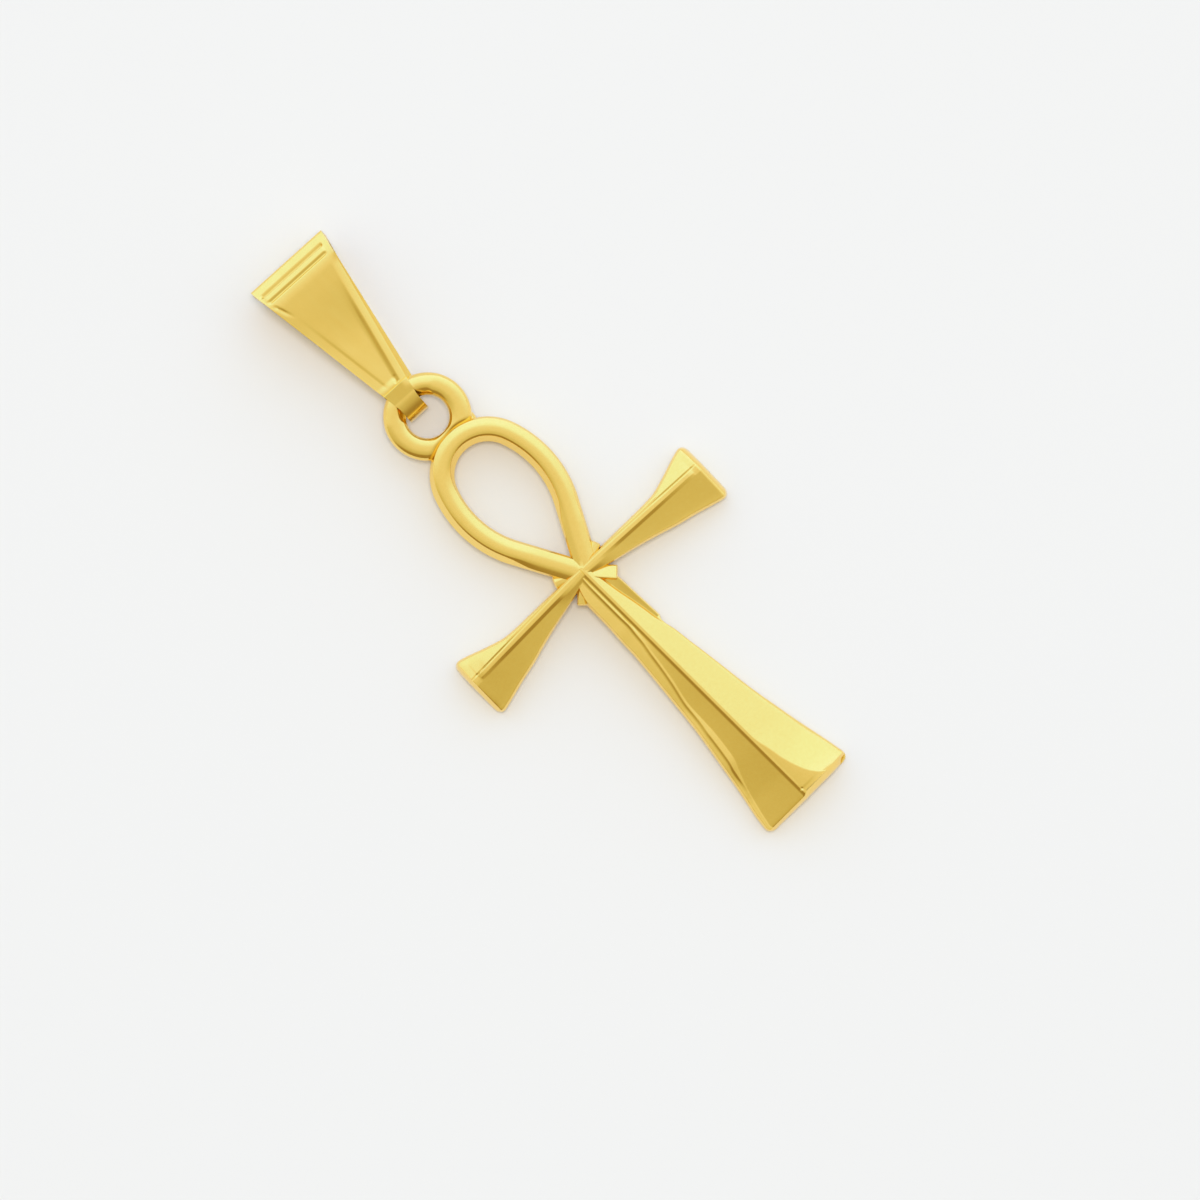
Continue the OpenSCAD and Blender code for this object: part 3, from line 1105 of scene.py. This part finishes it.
@dataclass
class AnkhBody:
    """The casting with its ring: loop, stem, arms, rays and the soldered ring in one."""

    arm_tilt: float = -1.2
    lower_ray_l: float = 1.58
    upper_ray_l: float = 1.42
    lower_ray_a: float = -46.0
    upper_ray_a: float = 21.0
    pits: tuple[tuple[float, float, float, float], ...] = (
        (0.0, -13.9, 0.09, 0.06),
        (-6.55, 0.26, 0.14, 0.1),
        (-6.4, 0.14, 0.12, 0.1),
    )
    hub_r: float = 0.44
    hub_h: float = 1.73
    web_r: float = 0.84
    web_h: float = 1.26
    web_rise: float = 0.27
    web_share: float = 0.75
    up_facing: float = 0.9
    lit_end: float = 0.2
    shaded_end: float = 0.012
    lit_ray_pitch: float = 0.95
    shaded_ray_pitch: float = 0.5
    upper_ray_pitch: float = 0.1
    crease: float = 32.0
    loop: Loop = field(default_factory=Loop)
    ring: Ring = field(default_factory=Ring)

    def hub(self) -> bpy.types.Object:
        """Builds the low dome in the middle, which the ridges run into.

        Returns:
            The closed body.
        """
        bm = bmesh.new()
        bmesh.ops.create_uvsphere(bm, u_segments=40, v_segments=24, radius=self.hub_r)
        bmesh.ops.translate(bm, vec=(0, 0, self.hub_h - self.hub_r), verts=bm.verts[:])
        return make_object("hub", bm)

    def web(self) -> bpy.types.Object:
        """Builds the metal that fills the corners between the limbs.

        Returns:
            The closed body.
        """
        bm = bmesh.new()
        bmesh.ops.create_cone(
            bm, cap_ends=True, segments=48, radius1=self.web_r, radius2=self.web_r, depth=self.web_h
        )
        bmesh.ops.translate(bm, vec=(0, 0, self.web_h / 2), verts=bm.verts[:])
        top = [f for f in bm.faces if f.normal.z > self.up_facing]
        inner = bmesh.ops.inset_region(bm, faces=top, thickness=self.web_r * self.web_share)["faces"]
        lid = [f for f in bm.faces if f.normal.z > self.up_facing and f not in inner]
        for vert in {v for f in lid for v in f.verts}:
            vert.co.z += self.web_rise
        return make_object("web", bm)

    def build(self) -> bpy.types.Object:
        """Builds all of the casting and joins it.

        Returns:
            The one closed body, in metres.
        """
        stem = Stem()
        parts = [self.ring.build(self.loop), self.ring.bead(), stem.build("stem", -90.0, Side.LEFT)]
        parts += [self.hub(), self.web()]
        for side in Side:
            is_lit = side is Side.RIGHT
            arm = Arm(end_soft=self.lit_end if is_lit else self.shaded_end)
            rows = LIT_RAY_ROWS if is_lit else RAY_ROWS
            pitch = self.lit_ray_pitch if is_lit else self.shaded_ray_pitch
            lower = Ray(rows, self.lower_ray_l, left_pitch=pitch)
            upper = Ray(RAY_ROWS, self.upper_ray_l, right_pitch=self.upper_ray_pitch)
            parts.append(arm.build("arm", 0.0, side, self.arm_tilt))
            parts.append(lower.build("ray", self.lower_ray_a, side))
            parts.append(upper.build("ray", self.upper_ray_a, side))
        body = self.loop.build()
        fuse(body, parts, self.crease)
        self.pit(body)
        to_metres(body)
        body.name = "ankh_body"
        return body

    def pit(self, body: bpy.types.Object) -> None:
        """Presses the few casting pits into the front.

        Args:
            body: The joined casting, still in millimetres.
        """
        for x, y, reach, depth in self.pits:
            for vert in body.data.vertices:
                near = 1.0 - math.hypot(vert.co.x - x, vert.co.y - y) / reach
                if near > 0.0 and vert.co.z > self.web_h:
                    vert.co.z -= depth * smooth_step(near)

    def dress(self, body: bpy.types.Object, group: bpy.types.NodeTree) -> None:
        """Gives the body its finish and puts it in the place of the plain solid.

        Args:
            body: The joined casting.
            group: The shared node group of the polished surface.
        """
        body.data.materials.clear()
        body.data.materials.append(CAST_GOLD.material(group))
        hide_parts("ankh")
        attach(body, "ankh")


@dataclass
class Bail:
    """The folded strip that hangs on the ring and takes the chain."""

    pivot_y: float = 11.155
    skew: float = -3.2
    fold_r: float = 1.03519
    fold_span: float = 6.73481
    top_r: float = 1.35
    half_w: float = 2.13
    neck_w: float = 0.8
    neck_y: float = 0.584809
    tongue_w: float = 0.52
    tongue_y: float = -0.29519
    tongue_shift: float = -0.12
    leaf_show: float = 0.24
    sheet: float = 0.22
    step: float = 0.02
    coarse: int = 5
    fine_zones: tuple[tuple[float, float], ...] = ((-0.1, 1.25), (7.0, 7.6), (8.0, 8.35))
    swell_from: float = 0.66
    swell_blend: float = 0.12
    grooves: tuple[Triple, ...] = ((0.5, 0.13, 0.12), (0.93, 0.13, 0.06))
    groove_left: float = 0.12
    groove_right: float = 0.28
    groove_fade: float = 0.1
    bar_rise: float = 0.03
    bar_flat: float = 1.6
    panel_from: float = 2.0
    panel_grow: float = 3.0
    panel_to: float = 7.4
    panel_fade: float = 0.35
    panel_depth: float = 0.21
    panel_step: float = 0.17
    flange_w: float = 0.36
    flange_lap: float = 0.02
    left_w: float = 0.38
    left_drop: float = 0.03
    left_fade: float = 0.14
    mark_depth: float = 0.045
    mark_in: float = 0.16
    mark_half: float = 0.12
    mark_lean: float = 0.2
    mark_from: float = 1.1
    mark_grow: float = 0.2
    mark_to: float = 2.2
    mark_fade: float = 0.6
    slot_depth: float = 0.11
    slot_in: float = 0.12
    slot_half: float = 0.14
    slot_l: float = 0.4
    slot_fade: float = 0.05
    pad_gap: float = 0.02
    pad_edge: float = 0.06
    pad_rise: float = 0.02
    pad_pitch: float = 0.14
    pad_low: float = 0.5
    pad_fade: float = 0.4
    roll_w: float = 0.36
    roll_drop: float = 0.11
    roll_power: float = 1.5
    roll_from: float = 1.1
    roll_to: float = 7.9
    roll_fade: float = 0.5
    rim_r: float = 0.045
    rim_angle: float = 60.0
    crease: float = 40.0
    edge_share: float = 0.85
    edge_marks: tuple[float, ...] = (0.0, 0.03, 0.07, 0.14, 0.22, 0.28, 0.32, 0.36, 0.4, 0.44, 0.48, 0.54)
    middle: int = 8

    @property
    def lean(self) -> float:
        """Lean of the front leaf in radians."""
        return 2 * math.atan((self.top_r - self.fold_r) / self.fold_span)

    @property
    def top_y(self) -> float:
        """Place of the upper fold's edge along the bail."""
        return self.fold_span + self.top_r

    def path(self) -> list[tuple[float, float, bool]]:
        """Draws the side view, round the outside of the strip.

        Returns:
            (y, z, front) points, where front tells the front leaf from the back one.
        """
        out = []
        mid = math.pi / 2 + self.lean

        def arc(cy: float, r: float, a0: float, a1: float, front: Callable[[float], bool]) -> None:
            """Adds the points of an arc that stands on the surface, without its end.

            Args:
                cy: Place of the centre along the bail.
                r: Radius, which is the centre's height too.
                a0: Angle of the start.
                a1: Angle of the end.
                front: Tells whether an angle is on the front leaf.
            """
            count = round(abs(a1 - a0) * r / self.step)
            for i in range(count):
                a = between(a0, a1, i / count)
                out.append((cy + r * math.cos(a), r + r * math.sin(a), front(a)))

        def line(y0: float, z0: float, y1: float, z1: float, front: bool) -> None:
            """Adds the points of a straight run, without its end.

            Args:
                y0: Place of the start along the bail.
                z0: Height of the start.
                y1: Place of the end along the bail.
                z1: Height of the end.
                front: Whether the run is on the front leaf.
            """
            count = round(math.hypot(y1 - y0, z1 - z0) / self.step)
            for i in range(count):
                out.append((between(y0, y1, i / count), between(z0, z1, i / count), front))

        arc(0.0, self.fold_r, 3 * math.pi / 2, mid, lambda a: a < math.pi)
        line(
            self.fold_r * math.cos(mid),
            self.fold_r * (1 + math.sin(mid)),
            self.fold_span + self.top_r * math.cos(mid),
            self.top_r * (1 + math.sin(mid)),
            True,
        )
        arc(self.fold_span, self.top_r, mid, -math.pi / 2, lambda a: a > 0)
        line(self.fold_span, 0.0, 0.0, 0.0, False)
        return [p for i, p in enumerate(out) if i % self.coarse == 0 or self.is_fine(p[0], p[2])]

    def is_fine(self, y: float, front: bool) -> bool:
        """Returns whether the face has small relief at a place along the bail."""
        edge = self.top_y - y
        return front and any(low < edge < high for low, high in self.fine_zones)

    def swell(self, y: float, z: float) -> float:
        """Works out how far the upper fold stands out past its round, as a facet with a tight edge.

        Args:
            y: Place along the bail.
            z: Height above the surface.

        Returns:
            The rise in millimetres.
        """
        slope = math.atan2(y - self.fold_span, z - self.top_r)
        if slope < self.swell_from:
            return 0.0
        flat = self.top_r / math.cos(slope - self.swell_from)
        wall = self.top_r / math.sin(slope)
        return soft_min(flat, wall, self.swell_blend) - self.top_r

    def edges(self, y: float, front: bool) -> tuple[float, float]:
        """Works out the edges of a leaf at a place along the bail.

        Args:
            y: The place.
            front: Whether it is the front leaf.

        Returns:
            Places of the left and the right edge.
        """
        show = self.leaf_show if front else 0.0
        tongue_l, tongue_r = self.tongue_shift - self.tongue_w, self.tongue_shift + self.tongue_w
        if y <= self.tongue_y:
            return tongue_l, tongue_r
        if y <= self.neck_y:
            t = (y - self.tongue_y) / (self.neck_y - self.tongue_y)
            return between(tongue_l, -self.neck_w, t), between(tongue_r, self.neck_w - show, t)
        t = (y - self.neck_y) / (self.top_y - self.neck_y)
        return between(-self.neck_w, -self.half_w, t), between(self.neck_w - show, self.half_w, t)

    def columns(self, left: float, right: float) -> list[float]:
        """Works out the places across a leaf, close together beside its edges.

        Args:
            left: Its left edge.
            right: Its right edge.

        Returns:
            The places from left to right.
        """
        room = (right - left) / 2
        squeeze = min(1.0, room * self.edge_share / self.edge_marks[-1])
        marks = [m * squeeze for m in self.edge_marks]
        inner_l, inner_r = left + marks[-1], right - marks[-1]
        inner = [between(inner_l, inner_r, i / (self.middle + 1)) for i in range(1, self.middle + 1)]
        return [left + m for m in marks] + inner + [right - m for m in reversed(marks)]

    def bar_relief(self, spot: Spot) -> float:
        """Works out the two grooves across the upper end and the bar between them.

        Args:
            spot: Point of the front leaf.

        Returns:
            The rise in millimetres, below zero in a groove.
        """
        inside = smooth_step((spot.from_left - self.groove_left) / self.groove_fade)
        inside *= smooth_step((spot.from_right - self.groove_right) / self.groove_fade)
        rise = 0.0
        for middle, half, depth in self.grooves:
            near = max(0.0, 1.0 - abs(spot.from_top - middle) / half)
            rise -= depth * smooth_step(near) * inside
        start, end = self.grooves[0][0], self.grooves[1][0]
        near = max(0.0, 1.0 - abs(spot.from_top - (start + end) / 2) * 2 / (end - start))
        return rise + self.bar_rise * smooth_step(near * self.bar_flat) * inside

    def panel_relief(self, spot: Spot) -> float:
        """Works out the sunk panel, the ditch beside its right flange and the slot where the ditch ends.

        Args:
            spot: Point of the front leaf.

        Returns:
            The rise in millimetres, below zero in the panel.
        """
        to_end = self.panel_to - spot.from_top
        grow = smooth_step((spot.from_top - self.panel_from) / self.panel_grow)
        panel = grow * smooth_step(to_end / self.panel_fade)
        across = spot.from_left / (spot.from_left + spot.from_right)
        from_flange = spot.from_right - self.flange_w
        ditch = min(max((from_flange + self.flange_lap) / self.panel_step, 0.0), 1.0)
        rise = -self.panel_depth * across * panel * ditch
        flat = 1.0 - smooth_step((spot.from_left - self.left_w) / self.left_fade)
        rise -= self.left_drop * panel * flat
        slot = max(0.0, 1.0 - abs(from_flange - self.slot_in) / self.slot_half)
        slot *= 1.0 - smooth_step(to_end / self.slot_l)
        return rise - self.slot_depth * slot * smooth_step(to_end / self.slot_fade)

    def edge_relief(self, spot: Spot) -> float:
        """Works out the dent by the left edge, the square pad and the roll of the right edge.

        Args:
            spot: Point of the front leaf.

        Returns:
            The rise in millimetres.
        """
        below = spot.from_top - self.mark_from
        mark = max(0.0, 1.0 - abs(spot.from_left - self.mark_in - below * self.mark_lean) / self.mark_half)
        mark = smooth_step(mark) * smooth_step(below / self.mark_grow)
        rise = -self.mark_depth * mark * smooth_step((self.mark_to - spot.from_top) / self.mark_fade)
        pad = smooth_step((spot.from_top - self.panel_to - self.pad_gap) / self.pad_edge)
        pad *= self.pad_rise + self.pad_pitch * max(spot.along, 0.0)
        rise += pad * smooth_step((spot.along + self.pad_low) / self.pad_fade)
        roll = max(0.0, 1.0 - spot.from_right / self.roll_w) ** self.roll_power
        roll *= smooth_step((self.roll_to - spot.from_top) / self.roll_fade)
        roll *= smooth_step((spot.from_top - self.roll_from) / self.roll_fade)
        return rise - self.roll_drop * roll

    def relief(self, y: float, x: float, front: bool) -> float:
        """Works out how far the leaf's face stands out at a point.

        Args:
            y: Place along the bail.
            x: Place across it.
            front: Whether it is on the front leaf.

        Returns:
            The rise in millimetres.
        """
        left, right = self.edges(y, front)
        spot = Spot(y, self.top_y - y, x - left, right - x)
        return self.bar_relief(spot) + self.panel_relief(spot) + self.edge_relief(spot)

    def build(self) -> bpy.types.Object:
        """Builds the strip: a closed path drawn across, shaped, and given its thickness.

        Returns:
            The folded sheet, in metres.
        """
        bm = bmesh.new()
        path = self.path()
        count = len(path)
        ring = [bm.verts.new((0, y, z)) for y, z, _ in path]
        loop = [bm.edges.new((ring[i], ring[(i + 1) % count])) for i in range(count)]
        rows = [self.columns(*self.edges(y, front)) for y, _, front in path]
        strands = [ring]
        for _ in range(len(rows[0]) - 1):
            made = bmesh.ops.extrude_edge_only(bm, edges=loop)["geom"]
            fresh = {v.co.copy().freeze(): v for v in made if isinstance(v, bmesh.types.BMVert)}
            row = [fresh[Vector((0, y, z)).freeze()] for y, z, _ in path]
            strands.append(row)
            made_edges = [e for e in made if isinstance(e, bmesh.types.BMEdge)]
            outer = set(row)
            loop = [e for e in made_edges if outer.issuperset(e.verts)]
        for c, strand in enumerate(strands):
            for i, vert in enumerate(strand):
                y, z, front = path[i]
                x = rows[i][c]
                before, after = path[i - 1], path[(i + 1) % count]
                out = Vector((0, -(after[1] - before[1]), after[0] - before[0])).normalized()
                is_face = front and z > self.fold_r
                rise = self.relief(y, x, front) + self.swell(y, z) if is_face else 0.0
                vert.co = Vector((x, y, z)) + out * rise
        bmesh.ops.recalc_face_normals(bm, faces=bm.faces[:])
        turn = Matrix.Translation((0, self.pivot_y, 0)) @ Matrix.Rotation(math.radians(self.skew), 4, "Z")
        bmesh.ops.transform(bm, matrix=turn, verts=bm.verts[:])
        obj = make_object("bail_strip", bm)
        wall = obj.modifiers.new("sheet", "SOLIDIFY")
        wall.thickness = self.sheet
        wall.offset = -1.0
        wall.use_even_offset = True
        rim = obj.modifiers.new("rim", "BEVEL")
        rim.width = self.rim_r
        rim.segments = 3
        rim.limit_method = "ANGLE"
        rim.angle_limit = math.radians(self.rim_angle)
        settle(obj, self.crease)
        to_metres(obj)
        return obj

    def dress(self, strip: bpy.types.Object, group: bpy.types.NodeTree) -> None:
        """Gives the strip its finish and puts it in the place of the plain solid.

        Args:
            strip: The folded sheet.
            group: The shared node group of the polished surface.
        """
        strip.data.materials.clear()
        strip.data.materials.append(SHEET_GOLD.material(group))
        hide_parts("bail")
        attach(strip, "bail")


@dataclass
class Studio:
    """Pale floor, soft light and the camera straight above the pendant."""

    right: Vector = field(default_factory=lambda: Vector((0.7046, -0.7096, 0.0)))
    up: Vector = field(default_factory=lambda: Vector((0.7096, 0.7046, 0.0)))
    view_mm: float = 54.0
    lens: float = 300.0
    sensor: float = 36.0
    clip: tuple[float, float] = (0.01, 20.0)
    rise: float = 0.8
    centre_px: tuple[float, float] = (582.6, 570.6)
    frame_px: float = 1200.0
    glow: tuple[tuple[float, float, float, float], ...] = (
        (-1.0, 0.35, 0.26, 0.11),
        (-0.7, 0.36, 0.27, 0.11),
        (-0.62, 0.49, 0.42, 0.22),
        (-0.53, 0.61, 0.57, 0.37),
        (-0.2, 0.72, 0.70, 0.55),
        (0.0, 0.84, 0.83, 0.78),
        (0.2, 0.87, 0.93, 1.00),
        (0.45, 0.90, 1.10, 1.40),
        (0.7, 0.92, 1.20, 1.62),
        (1.0, 0.96, 1.27, 1.95),
    )
    floor_size: float = 600.0
    floor_gap: float = 0.01
    floor_color: Triple = (0.75, 0.72, 0.69)
    floor_rough: float = 0.7
    lamp_power: float = 0.98
    lamp_size: float = 0.12
    lamp_place: Triple = (0.02, 0.02, 0.46)

    def camera(self) -> None:
        """Sets up the camera over the middle of the photo's frame."""
        data = bpy.data.cameras.new("camera")
        data.lens = self.lens
        data.sensor_fit = "HORIZONTAL"
        data.sensor_width = self.sensor
        data.clip_start, data.clip_end = self.clip
        scale = self.view_mm / self.frame_px
        off_right = (self.frame_px / 2 - self.centre_px[0]) * scale
        off_up = -(self.frame_px / 2 - self.centre_px[1]) * scale
        place = self.right * off_right + self.up * off_up
        height = self.view_mm * self.lens / self.sensor + self.rise
        cam = bpy.data.objects.new("camera", data)
        bpy.context.scene.collection.objects.link(cam)
        axes = (self.right.normalized(), self.up.normalized(), Vector((0, 0, 1)))
        turn = Matrix(axes).transposed().to_4x4()
        cam.matrix_world = Matrix.Translation(Vector((place.x, place.y, height)) * MM) @ turn
        bpy.context.scene.camera = cam

    def floor(self) -> None:
        """Lays the pale floor just under the pendant."""
        bm = bmesh.new()
        bmesh.ops.create_grid(bm, x_segments=1, y_segments=1, size=self.floor_size)
        bmesh.ops.translate(bm, vec=(0, 0, -self.floor_gap), verts=bm.verts[:])
        obj = make_object("floor", bm)
        to_metres(obj)
        mat = bpy.data.materials.new("pale_floor")
        mat.use_nodes = True
        shader = mat.node_tree.nodes["Principled BSDF"]
        shader.inputs["Base Color"].default_value = (*self.floor_color, 1.0)
        shader.inputs["Roughness"].default_value = self.floor_rough
        obj.data.materials.append(mat)

    def world(self) -> None:
        """Builds the soft surroundings, brighter towards the top of the picture."""
        world = bpy.data.worlds.new("studio")
        bpy.context.scene.world = world
        world.use_nodes = True
        tree = world.node_tree
        coords = tree.nodes.new("ShaderNodeTexCoord")
        dot = tree.nodes.new("ShaderNodeVectorMath")
        dot.operation = "DOT_PRODUCT"
        dot.inputs[1].default_value = self.up.normalized()
        tree.links.new(coords.outputs["Generated"], dot.inputs[0])
        span = add_node(tree, "ShaderNodeMapRange", Value=dot.outputs["Value"], From_Min=-1.0, From_Max=1.0)
        ramp = add_node(tree, "ShaderNodeValToRGB", Fac=span.outputs["Result"])
        top = max(max(row[1:]) for row in self.glow)
        elements = ramp.color_ramp.elements
        for place, *_ in self.glow[1:-1]:
            elements.new((place + 1) / 2)
        for element, (_, red, green, blue) in zip(elements, self.glow):
            element.color = (red / top, green / top, blue / top, 1.0)
        back = tree.nodes["Background"]
        tree.links.new(ramp.outputs["Color"], back.inputs["Color"])
        back.inputs["Strength"].default_value = top

    def lamp(self) -> None:
        """Hangs a wide soft lamp that lights the floor and leaves the metal's reflections alone."""
        data = bpy.data.lights.new("floor_lamp", "AREA")
        data.shape = "DISK"
        data.size = self.lamp_size
        data.energy = self.lamp_power
        data.specular_factor = 0.0
        lamp = bpy.data.objects.new("floor_lamp", data)
        lamp.location = self.lamp_place
        lamp.rotation_euler = (-lamp.location).to_track_quat("-Z", "Y").to_euler()
        lamp.visible_glossy = False
        bpy.context.scene.collection.objects.link(lamp)

    def build(self) -> None:
        """Builds the whole studio."""
        self.camera()
        self.floor()
        self.world()
        self.lamp()
        bpy.context.scene.view_settings.view_transform = "Standard"


def main() -> None:
    """Builds every piece and notes how many faces the dressed pieces have."""
    logging.basicConfig(level=logging.INFO, format="%(name)s: %(message)s")
    Studio().build()
    LOG.info("studio is set up")
    group = HandPolish().group()
    ankh = AnkhBody()
    body = ankh.build()
    ankh.dress(body, group)
    LOG.info("%s has %d faces", body.name, len(body.data.polygons))
    bail = Bail()
    strip = bail.build()
    bail.dress(strip, group)
    LOG.info("%s has %d faces", strip.name, len(strip.data.polygons))


if __name__ == "__main__":
    main()
